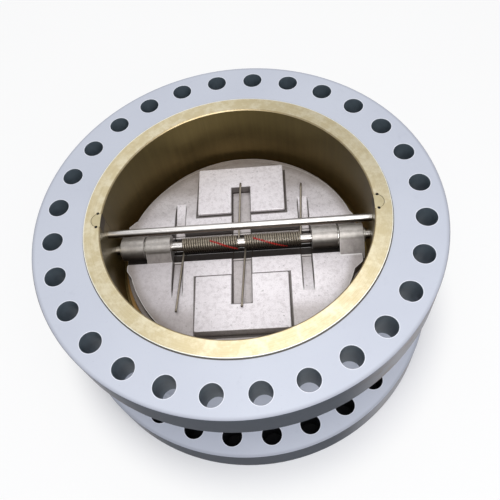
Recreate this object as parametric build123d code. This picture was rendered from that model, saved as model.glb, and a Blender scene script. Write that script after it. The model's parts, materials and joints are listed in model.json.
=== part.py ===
"""Double-flanged dual-plate check valve, DN 700 (NPS 28), Class 600.

Millimetres, +Z up. The origin is the centre of the inlet raised face, on which the valve stands.
Flow runs up +Z, from the inlet face to the outlet face. The hinge pin and the stop pin lie along X.
The front plate is the half disc on the -Y side, and the rear plate is the same casting turned half
a turn about Z. The body is one casting, and each plate with its knuckles is another; both are
written as several simple solids that meet face to face.
"""

from build123d import *
from math import acos, atan2, cos, pi, sin
import os

# Flanges: drilled to ASME B16.47 series A, NPS 28, Class 600
face_to_face = 486.0
flange_diameter = 1075.0
flange_thickness = 102.0
raised_face_diameter = 800.0
raised_face_height = 6.4
bolt_circle_diameter = 965.2
bolt_hole_diameter = 54.0
bolt_count = 28
flange_edge_chamfer = 2.5
bolt_hole_chamfer = 0.8

# Shell
neck_diameter = 850.0
neck_fillet = 14.0
outlet_bore_radius = 355.6
inlet_bore_radius = 305.0
bore_edge_chamfer = 2.5

# Levels inside the shell
ledge_z = 248.0
seat_z = 257.0
hinge_z = 330.6
stop_z = 413.6

# Crossbar and seat
crossbar_half_width = 34.0
crossbar_bottom_z = 141.0
crossbar_nose_half_width = 12.0
crossbar_shoulder_z = 185.0
crossbar_round = 11.0
seat_inner_radius = 306.0
seat_outer_radius = 348.0
seat_bar_half_width = 33.0
seat_chamfer = 1.0
seat_gap = 0.2

# Pins and the blocks that hold their ends in the two grooves of the bore
hinge_pin_radius = 13.0
stop_pin_radius = 10.5
running_clearance = 0.05
pin_half_length = 376.0
pin_end_chamfer = 2.0
groove_radius = 22.0
groove_centre_x = 360.0
groove_bottom_z = 290.6
groove_gap = 0.4
block_split_z = 372.0
plug_bottom_z = 453.6
plug_chamfer = 1.0
lock_screw_radius = 4.0
lock_screw_length = 16.0
lock_screw_depth = 18.0
lock_screw_sink = 1.2
lock_screw_angle = 75.0
lock_screw_socket = 4.0

# Plates
plate_rim_radius = 322.0
plate_foot_radius = 336.0
plate_foot_top_z = 291.6
foot_round = 3.0
lip_gap = 6.0
lip_top_z = 291.0
step_y = 39.5
step_z = 307.6
crown_y = 46.0
crown_z = 324.1
crown_round = 2.5
slope_start_y = 100.0
slope_end_y = 322.0
slope_blend_radius = 120.0
ear_inner_x = 290.0
ear_corner_round = 8.0
right_ear_corners = [(330.0, -46.0), (330.0, -80.0), (309.0, -99.0)]
left_ear_corners = [(-325.0, -46.0), (-324.0, -68.0), (-304.0, -97.0)]
underside_recess = 2.0
underside_recess_radius = 296.0
underside_recess_near_y = 42.0
pad_half_width = 127.0
pad_near_y = 103.0
pad_far_y = 267.0
pad_top_z = 333.6
pad_round = 2.5
pad_corner_round = 5.0
channel_half_width = 27.0
channel_end_y = 191.0
side_channel_near_x = 164.5
side_channel_far_x = 194.5
side_channel_end_y = 155.0

# Knuckles
knuckle_radius = 33.0
inner_knuckle = (197.0, 267.0)
outer_knuckle = (271.5, 337.5)
knuckle_chamfer = 1.2
inner_lug_foot_y = 52.0
outer_lug_foot_y = 66.0
lug_foot_z = 315.0
lug_bottom_z = 286.0
lug_heel_z = 299.0
lug_throat_angle = 53.0

# Bearings on the hinge pin
plate_bearing_radius = 27.0
plate_bearing_gap = 0.35
body_bearing_radius = 20.0
body_bearing_length = 6.5

# Torsion springs
spring_wire_radius = 3.0
spring_outer_radius = 22.0
spring_inner_end_x = 7.0
spring_turns = 24
spring_pitch = 6.75
leg_clearance = 0.5
middle_leg_tip_y = 203.0
outer_leg_tip_x = 179.0
outer_leg_tip_y = 200.0

flange_radius = flange_diameter / 2
bolt_circle_radius = bolt_circle_diameter / 2
top_flange_bottom_z = face_to_face - raised_face_height - flange_thickness
bottom_flange_top_z = raised_face_height + flange_thickness
outlet_hole_face_z = face_to_face - raised_face_height
plate_bottom_z = seat_z + seat_gap
slope = (crown_z - plate_foot_top_z) / (slope_end_y - slope_start_y)
side_channel_end_z = crown_z - slope * (side_channel_end_y - slope_start_y)
beyond = 20.0

# Where a quarter-round fillet's middle lies, as a share of its radius from either face
FILLET_SHARE = 1 - 0.5**0.5


def write(node, shape):
    """Write one sub-part to its STEP file."""
    shape.label = node
    export_step(shape, f"parts/{node}.step")


def turned(points):
    """Turn a closed outline of (radius, z) points about Z."""
    return revolve(Plane.XZ * make_face(Polyline(*points, close=True)), Axis.Z)


def near(vertex, corner):
    """Whether a vertex of a flat outline is the given corner."""
    return abs(vertex.X - corner[0]) < 0.01 and abs(vertex.Y - corner[1]) < 0.01


def prism_along_x(points, x_low, x_high):
    """A solid whose (y, z) section is the closed outline, from x_low to x_high."""
    face = make_face(Polyline(*[(y, z) for y, z in points], close=True))
    return Pos(x_low, 0, 0) * extrude(Plane.YZ * face, x_high - x_low)


def rod_along_x(radius, x_low, x_high, z=hinge_z):
    """A round bar along X at height z."""
    middle = Pos((x_low + x_high) / 2, 0, z)
    return middle * Rot(0, 90, 0) * Cylinder(radius, x_high - x_low)


def box_between(low, high):
    """A box between two opposite corners."""
    size = [b - a for a, b in zip(low, high)]
    centre = [(a + b) / 2 for a, b in zip(low, high)]
    return Pos(*centre) * Box(*size)


# ---------------------------------------------------------------- body


def outlet_flange():
    """The outlet flange with its raised face and the fillet under it."""
    edge = flange_edge_chamfer
    neck = neck_diameter / 2
    face_radius = raised_face_diameter / 2
    outline = [
        (outlet_bore_radius, top_flange_bottom_z - neck_fillet),
        (neck, top_flange_bottom_z - neck_fillet),
        (neck + neck_fillet, top_flange_bottom_z),
        (flange_radius - edge, top_flange_bottom_z),
        (flange_radius, top_flange_bottom_z + edge),
        (flange_radius, outlet_hole_face_z - edge),
        (flange_radius - edge, outlet_hole_face_z),
        (face_radius, outlet_hole_face_z),
        (face_radius, face_to_face),
        (outlet_bore_radius + bore_edge_chamfer, face_to_face),
        (outlet_bore_radius, face_to_face - bore_edge_chamfer),
    ]
    return flange_solid(outline)


def inlet_flange():
    """The inlet flange with its raised face and the fillet on top of it."""
    edge = flange_edge_chamfer
    neck = neck_diameter / 2
    face_radius = raised_face_diameter / 2
    outline = [
        (inlet_bore_radius, bottom_flange_top_z + neck_fillet),
        (neck, bottom_flange_top_z + neck_fillet),
        (neck + neck_fillet, bottom_flange_top_z),
        (flange_radius - edge, bottom_flange_top_z),
        (flange_radius, bottom_flange_top_z - edge),
        (flange_radius, raised_face_height + edge),
        (flange_radius - edge, raised_face_height),
        (face_radius, raised_face_height),
        (face_radius, 0),
        (inlet_bore_radius + bore_edge_chamfer, 0),
        (inlet_bore_radius, bore_edge_chamfer),
    ]
    return flange_solid(outline)


def flange_solid(outline):
    """Turn a flange outline, whose second and third points are the ends of its concave fillet."""
    low, high = outline[1], outline[2]
    bend = FILLET_SHARE * neck_fillet
    middle = (low[0] + bend, high[1] + (low[1] - high[1]) * FILLET_SHARE)
    lines = Polyline(*outline[2:], outline[0], low) + ThreePointArc(low, middle, high)
    return revolve(Plane.XZ * make_face(lines), Axis.Z)


def barrel(inner_radius, z_low, z_high):
    """A plain stretch of the neck."""
    height = z_high - z_low
    ring = Cylinder(neck_diameter / 2, height) - Cylinder(inner_radius, height)
    return Pos(0, 0, (z_low + z_high) / 2) * ring


def crossbar():
    """The bar across the inlet bore that carries the straight edges of both plates."""
    section = [
        (-crossbar_half_width, ledge_z),
        (-crossbar_half_width, crossbar_shoulder_z),
        (-crossbar_nose_half_width, crossbar_bottom_z),
        (crossbar_nose_half_width, crossbar_bottom_z),
        (crossbar_half_width, crossbar_shoulder_z),
        (crossbar_half_width, ledge_z),
    ]
    face = make_face(Polyline(*section, close=True))
    face = fillet([v for v in face.vertices() if v.Y < ledge_z - 1], crossbar_round)
    bar = Pos(-inlet_bore_radius, 0, 0) * extrude(Plane.YZ * face, 2 * inlet_bore_radius)
    return bar & Pos(0, 0, ledge_z / 2) * Cylinder(inlet_bore_radius, ledge_z)


def bolt_hole(flange_bottom_z):
    """One bolt hole through a flange, with a small chamfer at each mouth."""
    radius = bolt_hole_diameter / 2
    edge = bolt_hole_chamfer
    low = flange_bottom_z
    high = flange_bottom_z + flange_thickness
    outline = [
        (0, low - 1),
        (radius + edge + 1, low - 1),
        (radius, low + edge),
        (radius, high - edge),
        (radius + edge + 1, high + 1),
        (0, high + 1),
    ]
    return turned(outline)


def bolt_holes(flange_bottom_z):
    """The ring of bolt holes of one flange. They straddle the centrelines."""
    places = PolarLocations(bolt_circle_radius, bolt_count, start_angle=180 / bolt_count)
    return [place * bolt_hole(flange_bottom_z) for place in places]


def groove(side):
    """The drilled groove that the pin blocks drop into, at +X or -X."""
    height = face_to_face + 1 - groove_bottom_z
    return Pos(side * groove_centre_x, 0, groove_bottom_z + height / 2) * Cylinder(groove_radius, height)


def lock_screw_places(side):
    """Where the two lock screws of one groove stand, on the joint between plug and body."""
    places = []
    for turn in (-lock_screw_angle, lock_screw_angle):
        angle = turn * pi / 180
        x = groove_centre_x + groove_radius * cos(angle)
        places.append(Pos(side * x, groove_radius * sin(angle), 0))
    return places


def lock_screw_hole(place):
    """The hole for one lock screw, half in the plug and half in the body."""
    height = lock_screw_depth + 1
    return place * Pos(0, 0, face_to_face + 1 - height / 2) * Cylinder(lock_screw_radius, height)


def body_solids():
    """The cast body as five solids, by node name."""
    low_split = bottom_flange_top_z + neck_fillet
    high_split = top_flange_bottom_z - neck_fillet
    grooves = [groove(side) for side in (-1, 1)]
    screw_holes = [lock_screw_hole(place) for side in (-1, 1) for place in lock_screw_places(side)]
    return {
        "body_outlet_flange": outlet_flange() - bolt_holes(top_flange_bottom_z) - grooves - screw_holes,
        "body_outlet_barrel": barrel(outlet_bore_radius, ledge_z, high_split) - grooves,
        "body_inlet_barrel": barrel(inlet_bore_radius, low_split, ledge_z),
        "body_inlet_flange": inlet_flange() - bolt_holes(raised_face_height),
        "body_crossbar": crossbar(),
    }


# ---------------------------------------------------------------- seat


def seat_ring():
    """The round part of the seat overlay, on the ledge."""
    outline = [
        (seat_inner_radius, ledge_z),
        (seat_outer_radius, ledge_z),
        (seat_outer_radius, seat_z - seat_chamfer),
        (seat_outer_radius - seat_chamfer, seat_z),
        (seat_inner_radius + seat_chamfer, seat_z),
        (seat_inner_radius, seat_z - seat_chamfer),
    ]
    return turned(outline)


def seat_bar():
    """The straight part of the seat overlay, on the crossbar."""
    low = (-seat_inner_radius, -seat_bar_half_width, ledge_z)
    high = (seat_inner_radius, seat_bar_half_width, seat_z)
    bar = box_between(low, high)
    long_edges = bar.edges().filter_by(Axis.X).sort_by(Axis.Z)[-2:]
    bar = chamfer(long_edges, seat_chamfer)
    return bar & Pos(0, 0, seat_z) * Cylinder(seat_inner_radius, 2 * (seat_z - ledge_z))


# ---------------------------------------------------------------- plates


def plate_section():
    """The plate's section across the hinge line: lip, ledge, crown and the slope to the rim."""
    far = plate_foot_radius + beyond
    far_z = plate_foot_top_z - slope * (far - slope_end_y)
    outline = [
        (-lip_gap, plate_bottom_z),
        (-lip_gap, lip_top_z),
        (-step_y, lip_top_z),
        (-step_y, step_z),
        (-crown_y, step_z),
        (-crown_y, crown_z),
        (-slope_start_y, crown_z),
        (-far, far_z),
        (-far, plate_bottom_z),
    ]
    face = make_face(Polyline(*outline, close=True))
    face = fillet([v for v in face.vertices() if near(v, outline[5])], crown_round)
    return fillet([v for v in face.vertices() if near(v, outline[6])], slope_blend_radius)


def plate_outline_solid():
    """What bounds the plate sideways: the foot disc, the rim above it and the two ears."""
    height = crown_z + beyond - plate_bottom_z
    rim = Pos(0, 0, plate_bottom_z + height / 2) * Cylinder(plate_rim_radius, height)
    foot_height = plate_foot_top_z - plate_bottom_z
    foot = Pos(0, 0, plate_bottom_z + foot_height / 2) * Cylinder(plate_foot_radius, foot_height)
    foot = fillet(foot.edges().sort_by(Axis.Z)[-1], foot_round)
    return rim + [foot, ear(right_ear_corners), ear(left_ear_corners)]


def ear(corners):
    """A lobe at the end of the straight edge, past the rim, under a knuckle's end."""
    inner_x = ear_inner_x if corners[0][0] > 0 else -ear_inner_x
    points = [(inner_x, corners[0][1])] + corners + [(inner_x, corners[-1][1])]
    face = make_face(Polyline(*points, close=True))
    face = fillet([v for v in face.vertices() if abs(v.X) > ear_inner_x + 5], ear_corner_round)
    bottom_z = lip_top_z - 1
    return Pos(0, 0, bottom_z) * extrude(face, crown_z + beyond - bottom_z)


def raised_pad():
    """The thick rectangle in the middle of the plate."""
    low = (-pad_half_width, -pad_far_y, plate_foot_top_z)
    high = (pad_half_width, -pad_near_y, pad_top_z)
    block = box_between(low, high)
    block = fillet(block.edges().filter_by(Axis.Z), pad_corner_round)
    top = block.edges().filter_by_position(Axis.Z, pad_top_z - 0.01, pad_top_z + 0.01)
    return fillet(top, pad_round)


def middle_channel():
    """The groove for the springs' middle legs, from the straight edge into the pad."""
    low = (-channel_half_width, -channel_end_y, step_z)
    high = (channel_half_width, 0, pad_top_z + beyond)
    block = box_between(low, high)
    inner = [e for e in block.edges().filter_by(Axis.Z) if e.center().Y < -1]
    return fillet(inner, pad_corner_round)


def side_channel(side):
    """A groove for an outer spring leg, that runs out on the sloping crown."""
    section = [(0, step_z), (-crown_y, step_z), (-side_channel_end_y, side_channel_end_z)]
    section += [(-side_channel_end_y, crown_z + beyond), (0, crown_z + beyond)]
    ends = sorted((side * side_channel_near_x, side * side_channel_far_x))
    return prism_along_x(section, *ends)


def lug_section(foot_y):
    """The lug's section: from the knuckle's upper tangent down to its foot on the crown."""
    foot = (-foot_y, lug_foot_z)
    dy = foot[0]
    dz = foot[1] - hinge_z
    distance = (dy * dy + dz * dz) ** 0.5
    angle = atan2(dz, dy) % (2 * pi) - acos(knuckle_radius / distance)
    tangent = (knuckle_radius * cos(angle), hinge_z + knuckle_radius * sin(angle))
    throat = lug_throat_angle * pi / 180
    return [
        (0, hinge_z),
        tangent,
        foot,
        (-foot_y, lug_bottom_z),
        (-step_y, lug_bottom_z),
        (-step_y, lug_heel_z),
        (-knuckle_radius * cos(throat), hinge_z - knuckle_radius * sin(throat)),
    ]


def knuckle(x_low, x_high, foot_y):
    """One hinge knuckle with its lug, before the pin bore."""
    barrel_part = rod_along_x(knuckle_radius, x_low, x_high)
    barrel_part = chamfer(barrel_part.edges().filter_by(GeomType.CIRCLE), knuckle_chamfer)
    return barrel_part + prism_along_x(lug_section(foot_y), x_low, x_high)


def front_knuckles():
    """The front plate's two knuckles before the pin bore: the inner one at -X, the outer one at +X."""
    inner = knuckle(-inner_knuckle[1], -inner_knuckle[0], inner_lug_foot_y)
    outer = knuckle(outer_knuckle[0], outer_knuckle[1], outer_lug_foot_y)
    return [inner, outer]


def front_plate():
    """The plate on the -Y side, without its knuckles."""
    reach = plate_foot_radius + beyond
    section = Pos(-reach, 0, 0) * extrude(Plane.YZ * plate_section(), 2 * reach)
    solid = plate_outline_solid() & section
    solid = solid + raised_pad()
    solid = solid - [middle_channel(), side_channel(-1), side_channel(1)]
    solid = solid - front_knuckles()
    return solid - underside_recess_tool()


def bored_knuckles():
    """The front plate's two knuckles with the bore for the hinge pin."""
    bore = rod_along_x(hinge_pin_radius + running_clearance, -pin_half_length, pin_half_length)
    return Compound([part - bore for part in front_knuckles()])


def underside_recess_tool():
    """The shallow recess that leaves a raised seating face round the plate's underside."""
    disc = Pos(0, 0, plate_bottom_z) * Cylinder(underside_recess_radius, 2 * underside_recess)
    low = (-plate_foot_radius, -plate_foot_radius, plate_bottom_z - beyond)
    high = (plate_foot_radius, -underside_recess_near_y, plate_bottom_z + beyond)
    return disc & box_between(low, high)


# ---------------------------------------------------------------- pins, blocks and fasteners


def pin(radius, z):
    """A plain round pin across the bore."""
    rod = rod_along_x(radius, -pin_half_length, pin_half_length, z)
    return chamfer(rod.edges().filter_by(GeomType.CIRCLE), pin_end_chamfer)


def groove_block(side, z_low, z_high):
    """A half-moon block that fills the groove between two heights, flush with the bore wall."""
    height = z_high - z_low
    middle = (z_low + z_high) / 2
    bar = Pos(side * groove_centre_x, 0, middle) * Cylinder(groove_radius - groove_gap, height)
    return bar - Pos(0, 0, middle) * Cylinder(outlet_bore_radius, height + 2)


def pin_block(side, z_low, z_high, radius, pin_z):
    """A groove block with the blind hole that holds one end of a pin."""
    hole_end = side * (pin_half_length + 1)
    ends = sorted((side * (outlet_bore_radius - 20), hole_end))
    return groove_block(side, z_low, z_high) - rod_along_x(radius + running_clearance, *ends, pin_z)


def retainer_plug(side):
    """The plug that closes a groove at the outlet face."""
    block = groove_block(side, plug_bottom_z, face_to_face)
    top = block.edges().filter_by_position(Axis.Z, face_to_face - 0.01, face_to_face + 0.01)
    block = chamfer(top, plug_chamfer)
    return block - [lock_screw_hole(place) for place in lock_screw_places(side)]


def lock_screw():
    """A socket set screw, standing with its top just below the outlet face."""
    top = face_to_face - lock_screw_sink
    shank = Pos(0, 0, top - lock_screw_length / 2) * Cylinder(lock_screw_radius - 0.1, lock_screw_length)
    shank = chamfer(shank.edges().filter_by(GeomType.CIRCLE), 0.6)
    socket = extrude(RegularPolygon(lock_screw_socket / 2, 6, major_radius=False), lock_screw_socket)
    return shank - Pos(0, 0, top - lock_screw_socket) * socket


def lock_screws(side):
    """The two lock screws of one groove."""
    return Compound([place * lock_screw() for place in lock_screw_places(side)])


def washer(radius, x_low, x_high):
    """A round bearing on the hinge pin."""
    ring = rod_along_x(radius, x_low, x_high)
    ring = chamfer(ring.edges().filter_by(GeomType.CIRCLE), 0.5)
    return ring - rod_along_x(hinge_pin_radius + running_clearance, x_low - 1, x_high + 1)


def bearing_span(side, near_x, far_x):
    """The two ends along X, in order, of a bearing on the given side."""
    return sorted((side * near_x, side * far_x))


# ---------------------------------------------------------------- springs


def coil_body(side):
    """The close-wound coil: a sleeve with one rounded ridge for each turn of wire."""
    valley = spring_outer_radius - spring_wire_radius * 0.6
    inside = spring_outer_radius - 2 * spring_wire_radius
    start = spring_inner_end_x
    end = start + spring_turns * spring_pitch
    lines = [Line((start, inside), (start, valley))]
    for turn in range(spring_turns):
        low = start + turn * spring_pitch
        crest = (low + spring_pitch / 2, spring_outer_radius)
        lines.append(ThreePointArc((low, valley), crest, (low + spring_pitch, valley)))
    lines += [Line((end, valley), (end, inside)), Line((end, inside), (start, inside))]
    face = make_face(lines)
    coil = Pos(0, 0, hinge_z) * revolve(Plane.XZ * face, Axis.X)
    return coil if side > 0 else mirror(coil, Plane.YZ)


def leg(start, tip):
    """A straight spring leg from the underside of the coil to its tip."""
    path = Line(start, tip)
    return sweep(Plane(start, z_dir=path % 0) * Circle(spring_wire_radius), path)


def right_spring():
    """The +X spring: its middle leg bears on the front plate and its outer leg on the rear plate."""
    end_x = spring_inner_end_x + spring_turns * spring_pitch
    bottom_z = hinge_z - spring_outer_radius + spring_wire_radius
    lift = spring_wire_radius + leg_clearance
    middle_rise = (pad_top_z + lift - bottom_z) / channel_end_y
    outer_rise = (side_channel_end_z + lift - bottom_z) / side_channel_end_y
    middle = leg(
        (spring_inner_end_x + spring_wire_radius, 0, bottom_z),
        (0, -middle_leg_tip_y, bottom_z + middle_rise * middle_leg_tip_y),
    )
    outer = leg(
        (end_x - spring_wire_radius, 0, bottom_z),
        (outer_leg_tip_x, outer_leg_tip_y, bottom_z + outer_rise * outer_leg_tip_y),
    )
    return coil_body(1) + middle + outer


# ---------------------------------------------------------------- files


def main():
    """Build every sub-part and write its file."""
    os.makedirs("parts", exist_ok=True)
    half_turn = Rot(0, 0, 180)
    plate = front_plate()
    knuckles = bored_knuckles()
    spring = right_spring()
    for node, solid in body_solids().items():
        write(node, solid)
    write("seat_ring", seat_ring())
    write("seat_bar", seat_bar())
    write("plate_front", plate)
    write("plate_rear", half_turn * plate)
    write("plate_front_knuckles", knuckles)
    write("plate_rear_knuckles", half_turn * knuckles)
    write("hinge_pin", pin(hinge_pin_radius, hinge_z))
    write("stop_pin", pin(stop_pin_radius, stop_z))
    write("spring_right", spring)
    write("spring_left", half_turn * spring)
    plate_gap = (inner_knuckle[1] + plate_bearing_gap, outer_knuckle[0] - plate_bearing_gap)
    body_gap = (outer_knuckle[1] + plate_bearing_gap, outer_knuckle[1] + body_bearing_length)
    for side, name in ((-1, "left"), (1, "right")):
        hinge_span = (groove_bottom_z, block_split_z)
        stop_span = (block_split_z, plug_bottom_z)
        write(f"hinge_pin_block_{name}", pin_block(side, *hinge_span, hinge_pin_radius, hinge_z))
        write(f"stop_pin_block_{name}", pin_block(side, *stop_span, stop_pin_radius, stop_z))
        write(f"retainer_plug_{name}", retainer_plug(side))
        write(f"lock_screws_{name}", lock_screws(side))
        write(f"plate_bearing_{name}", washer(plate_bearing_radius, *bearing_span(side, *plate_gap)))
        write(f"body_bearing_{name}", washer(body_bearing_radius, *bearing_span(side, *body_gap)))


main()
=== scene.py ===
"""The looks of the double-flanged dual-plate check valve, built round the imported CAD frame."""

import json
from math import asin, atan2, cos, hypot, pi, sin

import bpy
from mathutils import Matrix, Vector


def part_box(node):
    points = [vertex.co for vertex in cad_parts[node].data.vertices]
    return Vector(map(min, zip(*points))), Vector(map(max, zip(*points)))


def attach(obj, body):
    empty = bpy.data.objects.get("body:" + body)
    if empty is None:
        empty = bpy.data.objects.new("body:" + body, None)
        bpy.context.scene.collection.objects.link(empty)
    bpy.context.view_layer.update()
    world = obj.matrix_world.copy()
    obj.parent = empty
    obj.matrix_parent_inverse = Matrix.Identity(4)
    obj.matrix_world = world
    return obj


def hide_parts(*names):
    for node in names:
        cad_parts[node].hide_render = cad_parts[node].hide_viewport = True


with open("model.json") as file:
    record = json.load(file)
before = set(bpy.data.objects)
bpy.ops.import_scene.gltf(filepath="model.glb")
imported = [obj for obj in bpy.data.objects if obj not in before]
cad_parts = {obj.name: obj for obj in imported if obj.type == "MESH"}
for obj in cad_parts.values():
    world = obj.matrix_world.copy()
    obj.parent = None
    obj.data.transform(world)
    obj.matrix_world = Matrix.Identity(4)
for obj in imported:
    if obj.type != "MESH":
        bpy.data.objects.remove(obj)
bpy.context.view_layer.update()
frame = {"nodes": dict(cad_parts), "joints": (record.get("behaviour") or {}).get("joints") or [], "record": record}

# Places read from the frame, in metres
TOP_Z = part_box("body_outlet_flange")[1].z
FLANGE_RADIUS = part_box("body_outlet_flange")[1].x
LEDGE_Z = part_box("body_outlet_barrel")[0].z
HINGE_Z = frame["joints"][0]["pos_m"][2]
MOUNTS = {mount["name"]: mount for mount in frame["record"]["mounts"]}
BOLT_CIRCLE_RADIUS = MOUNTS["outlet_bolt_circle"]["dims"]["pcd_mm"] / 2000
BOLT_HOLE_RADIUS = MOUNTS["outlet_bolt_circle"]["dims"]["hole_r_mm"] / 1000
BOLT_COUNT = MOUNTS["outlet_bolt_circle"]["dims"]["count"]

# Places inside the nodes, which the frame doesn't list, in metres
OUTLET_BORE_RADIUS = 0.3556
RAISED_FACE_RADIUS = 0.400
BARE_METAL_DEPTH = 0.0030
PLATE_RIM_RADIUS = 0.322
KNUCKLE_RADIUS = 0.0331
LIP_Z = HINGE_Z - 0.030

# Lines on the plates that run along the hinge, as distances from it along Y
UNDER_HINGE_Y = 0.0370
LEDGE_Y = 0.0418
STEP_FOOT_Y = 0.0455

# Outlines on the plates, the same on both sides of the hinge: centre and half size along X and Y
PAD_OUTLINE = ((0.0, 0.185), (0.127, 0.082))
MIDDLE_CHANNEL_OUTLINE = ((0.0, 0.0), (0.027, 0.191))
SIDE_CHANNEL_OUTLINE = ((0.1795, 0.0), (0.015, 0.155))
SIDE_CHANNEL_OPEN_Y = 0.1535

# The side of the parts along the hinge that faces the light; the other side gets dark brown painted shade
LIT_SIDE = (0.0, 0.866, 0.5)

# Spring wire
WIRE_RADIUS = 0.003
COIL_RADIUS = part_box("spring_right")[1].z - HINGE_Z - WIRE_RADIUS
COIL_START_X = 0.010
COIL_END_X = 0.166
COIL_TURNS = 24
MIDDLE_LEG_TIP = (0.0, -0.203, 0.3387)
OUTER_LEG_TIP = (0.179, 0.200, 0.32186)
WIRE_SIDES = 12
STEPS_PER_TURN = 40
STEPS_PER_LEG = 12

# The red lines on the coils: where each starts and ends along X, and its turn in radians per metre
RED_LINES = ((-0.089, -0.008, -19.0), (0.032, 0.132, -17.1))

# The floor is this far under the inlet face, so that the two don't share a plane
FLOOR_GAP = 0.0005


# ---------------------------------------------------------------- node helpers


def srgb(red, green, blue):
    """A display colour, 0 to 255 in each channel, as a linear shader colour."""
    linear = []
    for channel in (red, green, blue):
        share = channel / 255
        linear.append(share / 12.92 if share <= 0.04045 else ((share + 0.055) / 1.055) ** 2.4)
    return (*linear, 1.0)


class Finish:
    """A material with short ways to add the nodes that the finishes below are made of."""

    def __init__(self, name, roughness=0.5, metallic=0.0, specular=0.5):
        self.material = bpy.data.materials.new(name)
        self.material.use_nodes = True
        self.tree = self.material.node_tree
        self.shader = self.tree.nodes["Principled BSDF"]
        self.shader.inputs["Roughness"].default_value = roughness
        self.shader.inputs["Metallic"].default_value = metallic
        self.shader.inputs["Specular IOR Level"].default_value = specular
        self.place = self.add("ShaderNodeTexCoord").outputs["Object"]
        split = self.add("ShaderNodeSeparateXYZ")
        self.plug(split.inputs[0], self.place)
        self.x, self.y, self.z = split.outputs
        self.radius = self.math("SQRT", self.math("ADD", self.square(self.x), self.square(self.y)))

    def add(self, kind, **settings):
        """A new node with its settings."""
        node = self.tree.nodes.new(kind)
        for name, value in settings.items():
            setattr(node, name, value)
        return node

    def plug(self, socket, value):
        """Link a socket to another node's output, or give it a fixed value."""
        if isinstance(value, bpy.types.NodeSocket):
            self.tree.links.new(value, socket)
        else:
            socket.default_value = value

    def math(self, operation, first, second=None):
        """One maths node."""
        node = self.add("ShaderNodeMath", operation=operation)
        self.plug(node.inputs[0], first)
        if second is not None:
            self.plug(node.inputs[1], second)
        return node.outputs[0]

    def square(self, value):
        """A value times itself."""
        return self.math("MULTIPLY", value, value)

    def both(self, first, second):
        """Where both masks are on."""
        return self.math("MULTIPLY", first, second)

    def either(self, first, second):
        """Where either mask is on."""
        return self.math("MAXIMUM", first, second)

    def rise(self, value, low, high):
        """0 below low, 1 above high, smooth between. With low above high it falls instead."""
        node = self.add("ShaderNodeMapRange", interpolation_type="SMOOTHSTEP")
        self.plug(node.inputs["Value"], value)
        falling = low > high
        node.inputs["From Min"].default_value = min(low, high)
        node.inputs["From Max"].default_value = max(low, high)
        node.inputs["To Min"].default_value = 1.0 if falling else 0.0
        node.inputs["To Max"].default_value = 0.0 if falling else 1.0
        return node.outputs["Result"]

    def ring(self, value, centre, half_width, soft):
        """1 within half_width of centre, fading to 0 over soft."""
        offset = self.math("ABSOLUTE", self.math("SUBTRACT", value, centre))
        return self.rise(offset, half_width + soft, half_width)

    def noise(self, scale, detail=3.0, roughness=0.5, stretch=(1, 1, 1), place=None):
        """Soft noise from 0 to 1. A larger stretch makes it finer along that axis."""
        mapping = self.add("ShaderNodeMapping")
        self.plug(mapping.inputs["Vector"], place or self.place)
        mapping.inputs["Scale"].default_value = stretch
        node = self.add("ShaderNodeTexNoise")
        self.plug(node.inputs["Vector"], mapping.outputs["Vector"])
        node.inputs["Scale"].default_value = scale
        node.inputs["Detail"].default_value = detail
        node.inputs["Roughness"].default_value = roughness
        return node.outputs["Fac"]

    def mix(self, share, first, second):
        """A colour between two colours."""
        node = self.add("ShaderNodeMix", data_type="RGBA")
        self.plug(node.inputs["Factor"], share)
        self.plug(node.inputs["A"], first)
        self.plug(node.inputs["B"], second)
        return node.outputs["Result"]

    def between(self, share, first, second):
        """A number between two numbers."""
        node = self.add("ShaderNodeMix", data_type="FLOAT")
        self.plug(node.inputs["Factor"], share)
        self.plug(node.inputs["A"], first)
        self.plug(node.inputs["B"], second)
        return node.outputs["Result"]

    def crevice(self, distance):
        """1 in the inner corners of the piece itself, fading to 0 at the given distance."""
        node = self.add("ShaderNodeAmbientOcclusion", samples=8, only_local=True)
        node.inputs["Distance"].default_value = distance
        return self.rise(node.outputs["AO"], 0.97, 0.68)

    def edge(self, distance):
        """1 on the outer corners of the piece itself, fading to 0 at the given distance."""
        node = self.add("ShaderNodeAmbientOcclusion", samples=8, only_local=True, inside=True)
        node.inputs["Distance"].default_value = distance
        return self.rise(node.outputs["AO"], 0.90, 0.62)

    def leaning(self, direction, low, high):
        """How far the surface faces a direction: 0 where the cosine is under low, 1 over high."""
        node = self.add("ShaderNodeVectorMath", operation="DOT_PRODUCT")
        self.plug(node.inputs[0], self.add("ShaderNodeTexCoord").outputs["Normal"])
        self.plug(node.inputs[1], direction)
        return self.rise(node.outputs["Value"], low, high)

    def box_distance(self, outline):
        """How far a point is outside a rectangle and its mirror images in X and Y; negative inside."""
        reaches = []
        for value, centre, half in zip((self.x, self.y), *outline):
            offset = self.math("SUBTRACT", self.math("ABSOLUTE", value), centre)
            reaches.append(self.math("SUBTRACT", self.math("ABSOLUTE", offset), half))
        return self.math("MAXIMUM", *reaches)

    def hole_distance(self):
        """How far a point is from the axis of the nearest bolt hole."""
        step = 2 * pi / BOLT_COUNT
        turn = self.math("DIVIDE", self.math("ARCTAN2", self.y, self.x), step)
        share = self.math("SUBTRACT", self.math("FRACT", turn), 0.5)
        along = self.math("MULTIPLY", share, step * BOLT_CIRCLE_RADIUS)
        out = self.math("SUBTRACT", self.radius, BOLT_CIRCLE_RADIUS)
        return self.math("SQRT", self.math("ADD", self.square(along), self.square(out)))

    def colour(self, value):
        """Use a colour on the shader."""
        self.plug(self.shader.inputs["Base Color"], value)

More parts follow.
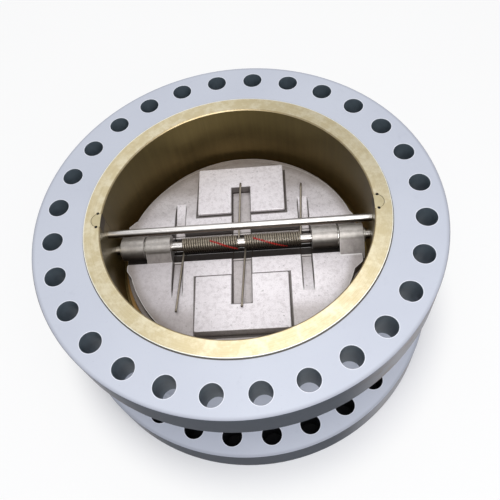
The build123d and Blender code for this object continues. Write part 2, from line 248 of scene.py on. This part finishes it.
    def bump(self, height, strength, distance):
        """Use a height on the shader's normal, after any bump already there."""
        node = self.add("ShaderNodeBump")
        node.inputs["Strength"].default_value = strength
        node.inputs["Distance"].default_value = distance
        self.plug(node.inputs["Height"], height)
        before = self.shader.inputs["Normal"].links
        if before:
            self.plug(node.inputs["Normal"], before[0].from_socket)
        self.plug(self.shader.inputs["Normal"], node.outputs["Normal"])

    def polar_place(self, angle_scale):
        """Coordinates of (radius, angle, z), for patterns that run round the bore."""
        angle = self.math("ARCTAN2", self.y, self.x)
        node = self.add("ShaderNodeCombineXYZ")
        self.plug(node.inputs[0], self.radius)
        self.plug(node.inputs[1], self.math("MULTIPLY", angle, angle_scale))
        self.plug(node.inputs[2], self.z)
        return node.outputs[0]


# ---------------------------------------------------------------- finishes


def body_finish():
    """Painted casting with machined faces and bore, told apart by where they are on the body."""
    f = Finish("valve_body")
    across = f.polar_place(OUTLET_BORE_RADIUS)

    paint = f.mix(f.noise(3.0, 2.0), srgb(180, 184, 196), srgb(195, 199, 209))
    scuff = f.rise(f.noise(28.0, 6.0, 0.7), 0.58, 0.80)
    paint = f.mix(f.math("MULTIPLY", scuff, 0.30), paint, srgb(160, 164, 177))
    speck = f.rise(f.noise(220.0, 2.0), 0.70, 0.80)
    paint = f.mix(f.math("MULTIPLY", speck, 0.25), paint, srgb(120, 124, 134))

    outer = f.rise(f.radius, FLANGE_RADIUS - 0.0012, FLANGE_RADIUS - 0.0004)
    # The flange rim is painted darker than the top face as painted shade, with brown patches of painted
    # reflection, and darker still on its front as painted shade.
    painted_shade_pattern = f.noise(5.0, 5.0, 0.65, (1, 1, 3))
    rim = f.mix(f.rise(painted_shade_pattern, 0.34, 0.50), srgb(124, 104, 86), srgb(134, 133, 137))
    shade = f.rise(f.y, -0.38, -0.50)
    rim = f.mix(shade, rim, f.mix(painted_shade_pattern, srgb(42, 47, 55), srgb(60, 67, 77)))
    near_rim = f.rise(f.radius, FLANGE_RADIUS - 0.011, FLANGE_RADIUS - 0.001)
    paint = f.mix(f.math("MULTIPLY", near_rim, 0.40), paint, srgb(112, 114, 126))
    paint = f.mix(outer, paint, rim)
    f.plug(f.shader.inputs["Specular IOR Level"], f.between(f.both(outer, shade), 0.5, 0.10))

    from_hole = f.hole_distance()
    # A thin painted highlight round the mouth of each bolt hole.
    mouth_highlight = f.ring(from_hole, BOLT_HOLE_RADIUS + 0.0012, 0.0006, 0.0008)
    paint = f.mix(f.math("MULTIPLY", mouth_highlight, 0.55), paint, srgb(238, 240, 246))
    hole = f.rise(from_hole, BOLT_HOLE_RADIUS + 0.0006, BOLT_HOLE_RADIUS + 0.0003)
    # The bolt-hole walls: dark primer with painted shade, and near-black painted shade deep in the lower flange's
    # holes.
    upper_wall = f.mix(f.noise(40.0, 4.0), srgb(66, 76, 84), srgb(92, 104, 112))
    shaded_hole_wall = f.mix(f.rise(f.z, LEDGE_Z, LEDGE_Z - 0.01), upper_wall, srgb(22, 24, 27))
    paint = f.mix(hole, paint, shaded_hole_wall)

    inside = f.rise(f.radius, OUTLET_BORE_RADIUS + 0.0012, OUTLET_BORE_RADIUS + 0.0006)
    streak = f.noise(1.0, 4.0, 0.6, (12, 90, 3), across)
    olive = f.mix(streak, srgb(86, 75, 43), srgb(108, 95, 56))
    deep = f.mix(streak, srgb(104, 88, 52), srgb(128, 108, 68))
    wall = f.mix(f.rise(f.z, LEDGE_Z + 0.03, TOP_Z - 0.03), deep, olive)
    turned = f.noise(1.0, 2.0, 0.5, (0, 2, 900), across)

    near_top = f.rise(f.z, TOP_Z - BARE_METAL_DEPTH - 0.0004, TOP_Z - BARE_METAL_DEPTH)
    near_bottom = f.rise(f.z, BARE_METAL_DEPTH + 0.0004, BARE_METAL_DEPTH)
    within = f.rise(f.radius, RAISED_FACE_RADIUS + 0.0006, RAISED_FACE_RADIUS + 0.0002)
    face = f.both(f.either(near_top, near_bottom), within)
    rings = f.noise(1.0, 3.0, 0.6, (520, 1.5, 0), across)
    mottle = f.rise(f.noise(34.0, 6.0, 0.70), 0.40, 0.66)
    straw = f.mix(rings, srgb(192, 176, 135), srgb(226, 212, 175))
    straw = f.mix(f.math("MULTIPLY", mottle, 0.45), straw, srgb(244, 237, 214))
    # A white painted highlight along the outer edge of the raised face.
    face_edge_highlight = f.ring(f.radius, RAISED_FACE_RADIUS, 0.0012, 0.0008)
    straw = f.mix(face_edge_highlight, straw, srgb(255, 253, 240))
    bore_edge = f.ring(f.radius, OUTLET_BORE_RADIUS + 0.0014, 0.0014, 0.0010)
    straw = f.mix(f.math("MULTIPLY", bore_edge, 0.6), straw, srgb(148, 124, 82))

    colour = f.mix(inside, paint, wall)
    colour = f.mix(face, colour, straw)
    # A dark line of painted shade at the foot of the raised face's step.
    crease_shade = f.ring(f.radius, RAISED_FACE_RADIUS + 0.0012, 0.0010, 0.0010)
    colour = f.mix(f.both(crease_shade, f.math("SUBTRACT", 1.0, face)), colour, srgb(84, 78, 70))
    f.colour(colour)

    bare = f.either(inside, face)
    f.plug(f.shader.inputs["Metallic"], f.math("MULTIPLY", bare, 0.85))
    rough = f.between(bare, 0.48, f.between(face, f.between(streak, 0.30, 0.44), 0.36))
    f.plug(f.shader.inputs["Roughness"], rough)

    f.bump(f.both(turned, inside), 0.25, 0.0004)
    f.bump(f.both(rings, face), 0.20, 0.0003)
    orange_peel = f.both(f.noise(420.0, 2.0), f.math("SUBTRACT", 1.0, bare))
    f.bump(orange_peel, 0.12, 0.0004)
    return f.material


def seat_finish():
    """Machined seat overlay with a straw tint."""
    f = Finish("seat_overlay", metallic=0.85)
    rings = f.noise(1.0, 3.0, 0.6, (700, 2, 0), f.polar_place(OUTLET_BORE_RADIUS))
    f.colour(f.mix(rings, srgb(150, 112, 66), srgb(196, 158, 104)))
    f.plug(f.shader.inputs["Roughness"], f.between(rings, 0.26, 0.40))
    f.bump(rings, 0.25, 0.0003)
    return f.material


def plate_finish():
    """Shot-blasted cast stainless steel, with painted shade lower down, on the front left, towards the rim, under
    the hinge and in its hollows, and painted highlights on its edges.
    """
    f = Finish("plate_casting", metallic=0.45)
    from_hinge = f.math("ABSOLUTE", f.y)
    tone = f.noise(9.0, 5.0, 0.6)
    cast = f.mix(tone, srgb(222, 215, 217), srgb(246, 241, 243))
    patches = f.rise(f.noise(80.0, 5.0, 0.7), 0.44, 0.66)
    cast = f.mix(f.math("MULTIPLY", patches, 0.30), cast, srgb(168, 158, 158))
    grain = f.noise(420.0, 4.0, 0.65)
    cast = f.mix(f.math("MULTIPLY", f.rise(grain, 0.45, 0.75), 0.35), cast, srgb(150, 142, 140))
    pit = f.rise(f.noise(130.0, 3.0, 0.6), 0.62, 0.74)
    cast = f.mix(f.math("MULTIPLY", pit, 0.50), cast, srgb(104, 96, 92))

    # Painted shade on the lower, sloping parts of the plate.
    low = f.rise(f.z, HINGE_Z - 0.0160, HINGE_Z - 0.0240)
    cast = f.mix(f.math("MULTIPLY", low, 0.40), cast, srgb(132, 118, 104))
    # Painted shade on the left part of the front plate.
    front_left_shade = f.both(f.rise(f.y, 0.0, -0.06), f.rise(f.x, -0.02, -0.22))
    cast = f.mix(f.math("MULTIPLY", front_left_shade, 0.46), cast, srgb(146, 138, 138))
    # Painted shade, brownish, on the band towards the rim.
    towards_rim = f.rise(f.radius, PLATE_RIM_RADIUS - 0.030, PLATE_RIM_RADIUS)
    cast = f.mix(f.math("MULTIPLY", towards_rim, 0.50), cast, srgb(122, 108, 94))
    # A near-black painted shadow under the hinge pin and springs.
    middle = f.rise(from_hinge, UNDER_HINGE_Y + 0.004, UNDER_HINGE_Y)
    cast = f.mix(f.math("MULTIPLY", middle, 0.93), cast, srgb(38, 31, 26))
    # Painted highlights on the outer edges.
    cast = f.mix(f.math("MULTIPLY", f.edge(0.0030), 0.60), cast, srgb(255, 253, 251))
    # Painted shade in the inner corners.
    cast = f.mix(f.math("MULTIPLY", f.crevice(0.0035), 0.90), cast, srgb(44, 37, 32))

    # Dark lines of painted shade at the feet of the pads, along the channels and at the foot of the step.
    from_channel = f.box_distance(MIDDLE_CHANNEL_OUTLINE)
    pad_foot = f.ring(f.box_distance(PAD_OUTLINE), 0.0036, 0.0026, 0.0014)
    pad_foot = f.both(pad_foot, f.rise(from_channel, 0.0, 0.001))
    channel_edge = f.ring(from_channel, 0.0, 0.0015, 0.0009)
    side_edge = f.ring(f.box_distance(SIDE_CHANNEL_OUTLINE), 0.0, 0.0012, 0.0008)
    side_edge = f.both(side_edge, f.rise(from_hinge, SIDE_CHANNEL_OPEN_Y, 0.1300))
    step_foot = f.ring(from_hinge, STEP_FOOT_Y, 0.0010, 0.0008)
    # A light painted highlight along the edge of the ledge.
    ledge_highlight = f.both(f.ring(from_hinge, LEDGE_Y, 0.0018, 0.0006), f.rise(f.z, LIP_Z, LIP_Z + 0.004))
    cast = f.mix(f.math("MULTIPLY", ledge_highlight, 0.75), cast, srgb(214, 206, 202))
    painted_shade_pattern = f.either(f.either(pad_foot, step_foot), f.either(channel_edge, side_edge))
    f.colour(f.mix(f.math("MULTIPLY", painted_shade_pattern, 0.85), cast, srgb(62, 53, 45)))

    f.plug(f.shader.inputs["Roughness"], f.between(grain, 0.40, 0.56))
    f.bump(grain, 0.35, 0.0006)
    f.bump(f.noise(60.0, 4.0, 0.6), 0.35, 0.0014)
    f.bump(f.noise(16.0, 3.0, 0.5), 0.25, 0.0030)
    return f.material


def knuckle_finish():
    """The same casting, machined round the hinge barrels, with painted shade and painted highlights."""
    f = Finish("plate_knuckles", metallic=0.80)
    drop = f.math("SUBTRACT", f.z, HINGE_Z)
    reach = f.math("SQRT", f.math("ADD", f.square(f.y), f.square(drop)))
    barrel = f.rise(reach, KNUCKLE_RADIUS + 0.0007, KNUCKLE_RADIUS)
    turned = f.noise(1.0, 2.0, 0.5, (900, 6, 6))
    mottle = f.noise(70.0, 5.0, 0.65)
    machined = f.mix(mottle, srgb(152, 146, 140), srgb(240, 234, 228))
    cast = f.mix(mottle, srgb(126, 119, 115), srgb(204, 197, 194))
    # Painted shade, dark brown, on the barrels' side away from the light.
    machined = f.mix(f.leaning(LIT_SIDE, -0.9, 0.5), srgb(64, 57, 50), machined)
    tone = f.mix(barrel, cast, machined)
    # Painted highlights on the outer edges.
    tone = f.mix(f.math("MULTIPLY", f.edge(0.0025), 0.45), tone, srgb(236, 230, 224))
    # Painted shade in the inner corners.
    f.colour(f.mix(f.math("MULTIPLY", f.crevice(0.010), 0.85), tone, srgb(46, 39, 33)))
    f.plug(f.shader.inputs["Roughness"], f.between(barrel, 0.54, f.between(turned, 0.40, 0.52)))
    f.bump(f.both(turned, barrel), 0.20, 0.0003)
    f.bump(f.noise(420.0, 3.0, 0.6), 0.25, 0.0005)
    return f.material


def pin_finish():
    """Bright ground bar with fine marks round it."""
    f = Finish("ground_pins", metallic=1.0)
    marks = f.noise(1.0, 2.0, 0.5, (240, 14, 14))
    haze = f.noise(18.0, 4.0, 0.6, (0.4, 1, 1))
    bright = f.mix(haze, srgb(220, 214, 208), srgb(244, 241, 238))
    # Painted shade, dark brown, on the pins' side away from the light.
    f.colour(f.mix(f.leaning(LIT_SIDE, -1.0, 0.25), srgb(92, 78, 64), bright))
    f.plug(f.shader.inputs["Roughness"], f.between(marks, 0.26, 0.36))
    f.bump(marks, 0.04, 0.0002)
    return f.material


def block_finish():
    """Machined blocks in the bore grooves, the colour of the bore."""
    f = Finish("groove_blocks", metallic=0.85)
    streak = f.noise(1.0, 4.0, 0.6, (60, 60, 4))
    f.colour(f.mix(streak, srgb(84, 74, 50), srgb(132, 118, 82)))
    f.plug(f.shader.inputs["Roughness"], f.between(streak, 0.34, 0.48))
    f.bump(f.noise(1.0, 2.0, 0.5, (4, 4, 900)), 0.2, 0.0003)
    return f.material


def plug_finish():
    """The half-moon plugs, a little greyer than the raised face round them."""
    f = Finish("retainer_plugs", metallic=0.80)
    tone = f.noise(60.0, 4.0, 0.6)
    plain = f.mix(tone, srgb(186, 172, 134), srgb(214, 202, 166))
    top = f.rise(f.z, TOP_Z - 0.0009, TOP_Z - 0.0003)
    f.colour(f.mix(top, srgb(70, 62, 48), plain))
    f.plug(f.shader.inputs["Roughness"], f.between(tone, 0.34, 0.46))
    f.bump(f.noise(700.0, 2.0), 0.2, 0.0003)
    return f.material


def screw_finish():
    """Black oxide set screws."""
    f = Finish("black_oxide", metallic=0.70)
    tone = f.noise(300.0, 3.0)
    f.colour(f.mix(tone, srgb(24, 24, 26), srgb(58, 56, 54)))
    f.plug(f.shader.inputs["Roughness"], f.between(tone, 0.35, 0.55))
    f.bump(tone, 0.2, 0.0002)
    return f.material


def bearing_finish():
    """Bright turned washers."""
    f = Finish("turned_bearings", metallic=0.95)
    rings = f.noise(1.0, 2.0, 0.5, (30, 500, 500))
    f.colour(f.mix(rings, srgb(180, 176, 168), srgb(220, 216, 208)))
    f.plug(f.shader.inputs["Roughness"], f.between(rings, 0.24, 0.38))
    f.bump(rings, 0.15, 0.0002)
    return f.material


def spring_finish():
    """Brownish drawn wire, with the red line that is painted along each coil."""
    f = Finish("spring_wire", metallic=0.80)
    scale = f.noise(260.0, 4.0, 0.6)
    wire = f.mix(scale, srgb(134, 123, 107), srgb(194, 184, 167))
    # Painted shade, dark brown, on the wire's side away from the light.
    wire = f.mix(f.leaning(LIT_SIDE, -0.8, 0.4), srgb(54, 45, 36), wire)
    turn = f.math("ARCTAN2", f.y, f.math("SUBTRACT", f.z, HINGE_Z))
    red = None
    for start_x, end_x, turn_per_metre in RED_LINES:
        line = f.math("MULTIPLY", f.math("SUBTRACT", f.x, start_x), turn_per_metre)
        near_line = f.rise(f.math("ABSOLUTE", f.math("SUBTRACT", turn, line)), 0.16, 0.11)
        along = f.both(f.rise(f.x, start_x, start_x + 0.004), f.rise(f.x, end_x, end_x - 0.004))
        stripe = f.both(near_line, along)
        red = stripe if red is None else f.either(red, stripe)
    worn = f.rise(scale, 0.72, 0.50)
    red = f.both(red, f.between(worn, 0.55, 1.0))
    f.colour(f.mix(red, wire, srgb(168, 34, 26)))
    f.plug(f.shader.inputs["Metallic"], f.between(red, 0.80, 0.05))
    f.plug(f.shader.inputs["Roughness"], f.between(scale, 0.30, 0.46))
    f.bump(scale, 0.15, 0.0002)
    return f.material


def floor_finish():
    """White floor, paler for the camera than for the valve, with a painted shadow ring seen through the holes."""
    f = Finish("pale_floor", roughness=0.8, specular=0.2)
    pale = f.mix(f.noise(1.5, 3.0), srgb(236, 236, 238), srgb(244, 244, 245))
    # A painted shadow ring on the floor under the bolt holes.
    under = f.ring(f.radius, BOLT_CIRCLE_RADIUS, 0.040, 0.005)
    f.colour(f.mix(under, pale, srgb(34, 34, 36)))
    glow = f.add("ShaderNodeEmission")
    glow.inputs["Color"].default_value = (1.0, 1.0, 1.0, 1.0)
    blend = f.add("ShaderNodeMixShader")
    seen = f.add("ShaderNodeLightPath").outputs["Is Camera Ray"]
    clear = f.rise(f.radius, FLANGE_RADIUS - 0.02, FLANGE_RADIUS + 0.12)
    f.plug(blend.inputs[0], f.math("MULTIPLY", f.both(seen, clear), 0.85))
    f.plug(blend.inputs[1], f.shader.outputs[0])
    f.plug(blend.inputs[2], glow.outputs[0])
    f.plug(f.tree.nodes["Material Output"].inputs["Surface"], blend.outputs[0])
    return f.material


# ---------------------------------------------------------------- springs


def tube(name, path, material):
    """A round wire mesh along a list of points, with flat ends."""
    mesh = bpy.data.meshes.new(name)
    corners = []
    faces = []
    side = Vector((1, 0, 0))
    for index, point in enumerate(path):
        before = path[max(index - 1, 0)]
        after = path[min(index + 1, len(path) - 1)]
        along = (after - before).normalized()
        side = (side - along * side.dot(along)).normalized()
        other = along.cross(side)
        for step in range(WIRE_SIDES):
            angle = 2 * pi * step / WIRE_SIDES
            corners.append(point + (side * cos(angle) + other * sin(angle)) * WIRE_RADIUS)
    for index in range(len(path) - 1):
        for step in range(WIRE_SIDES):
            following = (step + 1) % WIRE_SIDES
            low, high = index * WIRE_SIDES, (index + 1) * WIRE_SIDES
            faces.append((low + step, low + following, high + following, high + step))
    faces.append(tuple(reversed(range(WIRE_SIDES))))
    faces.append(tuple(range(len(corners) - WIRE_SIDES, len(corners))))
    mesh.from_pydata(corners, [], faces)
    for polygon in mesh.polygons:
        polygon.use_smooth = len(polygon.vertices) == 4
    mesh.materials.append(material)
    piece = bpy.data.objects.new(name, mesh)
    bpy.context.scene.collection.objects.link(piece)
    return piece


def coil_point(turn_angle, pitch):
    """A point on the right coil's centreline. Angle 0 is the underside of the first turn."""
    x = COIL_START_X + pitch * turn_angle / (2 * pi)
    return Vector((x, COIL_RADIUS * sin(turn_angle), HINGE_Z - COIL_RADIUS * cos(turn_angle)))


def coil_stretch(start, end, pitch):
    """Centreline points between two turn angles."""
    count = max(2, round((end - start) / (2 * pi) * STEPS_PER_TURN))
    return [coil_point(start + (end - start) * i / count, pitch) for i in range(count + 1)]


def tangent_angle(tip, going_out):
    """The turn angle where a straight leg to the tip leaves the coil."""
    tip_y, tip_z = tip[1], tip[2] - HINGE_Z
    lean = asin(COIL_RADIUS / hypot(tip_y, tip_z))
    if going_out:
        return atan2(tip_z, tip_y) + lean
    return atan2(tip_z, tip_y) - pi - lean


def straight(start, end, count):
    """Evenly spaced points from start up to, but not including, end."""
    return [start.lerp(end, i / count) for i in range(count)]


def half_turn(points):
    """The same points turned half a turn about Z."""
    turn = Matrix.Rotation(pi, 4, "Z")
    return [turn @ point for point in points]


def spring_paths():
    """The right spring's centreline in three stretches: middle leg, coil and outer leg."""
    pitch = (COIL_END_X - COIL_START_X) / COIL_TURNS
    first = tangent_angle(MIDDLE_LEG_TIP, going_out=False)
    last = 2 * pi * COIL_TURNS + tangent_angle(OUTER_LEG_TIP, going_out=True)
    first_turn = coil_stretch(first, 2 * pi, pitch)
    last_turn = coil_stretch(2 * pi * (COIL_TURNS - 1), last, pitch)
    middle_leg = straight(Vector(MIDDLE_LEG_TIP), first_turn[0], STEPS_PER_LEG) + first_turn
    outer_leg = straight(Vector(OUTER_LEG_TIP), last_turn[-1], STEPS_PER_LEG) + last_turn[::-1]
    coil = coil_stretch(2 * pi, 2 * pi * (COIL_TURNS - 1), pitch)
    return middle_leg, coil, outer_leg


def build_springs(material):
    """Both springs as wound wire. Each leg and its end turn move with the plate they bear on."""
    middle_leg, coil, outer_leg = spring_paths()
    pieces = [
        ("spring_right", "coil", coil, "root"),
        ("spring_right", "middle_leg", middle_leg, "plate_front"),
        ("spring_right", "outer_leg", outer_leg, "plate_rear"),
        ("spring_left", "coil", half_turn(coil), "root"),
        ("spring_left", "middle_leg", half_turn(middle_leg), "plate_rear"),
        ("spring_left", "outer_leg", half_turn(outer_leg), "plate_front"),
    ]
    for node, part, path, body in pieces:
        piece = tube(f"{node}_{part}", path, material)
        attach(piece, body)
        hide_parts(node)


# ---------------------------------------------------------------- surroundings


def build_floor(material):
    """A wide pale floor just under the inlet face."""
    half = 6.0
    mesh = bpy.data.meshes.new("floor")
    corners = [(-half, -half, 0), (half, -half, 0), (half, half, 0), (-half, half, 0)]
    mesh.from_pydata(corners, [], [(0, 1, 2, 3)])
    mesh.materials.append(material)
    floor = bpy.data.objects.new("floor", mesh)
    floor.location.z = -FLOOR_GAP
    bpy.context.scene.collection.objects.link(floor)


def aim(thing, position, target):
    """Place a light or camera and point it at the target."""
    thing.location = position
    thing.rotation_euler = (Vector(target) - Vector(position)).to_track_quat("-Z", "Y").to_euler()


def area_light(name, position, target, size, power):
    """A square soft white light."""
    data = bpy.data.lights.new(name, "AREA")
    data.shape = "SQUARE"
    data.size = size
    data.energy = power
    light = bpy.data.objects.new(name, data)
    bpy.context.scene.collection.objects.link(light)
    aim(light, position, target)


def build_lights():
    """Soft light all round, one light in front and two behind, with a white backdrop."""
    world = bpy.data.worlds.new("studio")
    world.use_nodes = True
    nodes, links = world.node_tree.nodes, world.node_tree.links
    light = nodes["Background"]
    light.inputs["Color"].default_value = (0.93, 0.95, 1.0, 1.0)
    light.inputs["Strength"].default_value = 0.52
    backdrop = nodes.new("ShaderNodeBackground")
    backdrop.inputs["Color"].default_value = (0.96, 0.96, 0.97, 1.0)
    choose = nodes.new("ShaderNodeMixShader")
    links.new(nodes.new("ShaderNodeLightPath").outputs["Is Camera Ray"], choose.inputs[0])
    links.new(light.outputs[0], choose.inputs[1])
    links.new(backdrop.outputs[0], choose.inputs[2])
    links.new(choose.outputs[0], nodes["World Output"].inputs["Surface"])
    bpy.context.scene.world = world
    area_light("overhead", (0.4, -1.2, 2.2), (0, -0.1, 0.4), 1.7, 34)
    area_light("rear_left", (-1.2, 2.0, 2.4), (0, 0, 0.4), 2.4, 8)
    area_light("rear_top", (0.08, 0.55, 2.6), (0.05, -0.2, 0.4), 1.3, 10)


def build_camera():
    """The camera, above the front of the outlet and rolled a little to one side."""
    data = bpy.data.cameras.new("camera")
    data.sensor_width = 36.0
    data.lens = 41.56
    camera = bpy.data.objects.new("camera", data)
    bpy.context.scene.collection.objects.link(camera)
    right = Vector((0.99528, -0.01722, -0.09557))
    up = Vector((0.06421, 0.85500, 0.51464))
    back = right.cross(up)
    turn = Matrix((right, up, back)).transposed().to_4x4()
    camera.matrix_world = Matrix.Translation((0.1410, -0.8609, 1.7011)) @ turn
    bpy.context.scene.camera = camera


def main():
    """Give every node its finish, wind the springs and set the studio."""
    finishes = [
        ("bearing", bearing_finish()),
        ("knuckles", knuckle_finish()),
        ("lock_screws", screw_finish()),
        ("retainer_plug", plug_finish()),
        ("_block", block_finish()),
        ("_pin", pin_finish()),
        ("plate_", plate_finish()),
        ("seat_", seat_finish()),
        ("body_", body_finish()),
    ]
    for name, node in frame["nodes"].items():
        found = next((finish for word, finish in finishes if word in name), None)
        if found:  # the springs have none, because wound wire replaces them
            node.data.materials.clear()
            node.data.materials.append(found)
    build_springs(spring_finish())
    build_floor(floor_finish())
    build_lights()
    build_camera()
    bpy.context.scene.view_settings.view_transform = "Standard"


main()
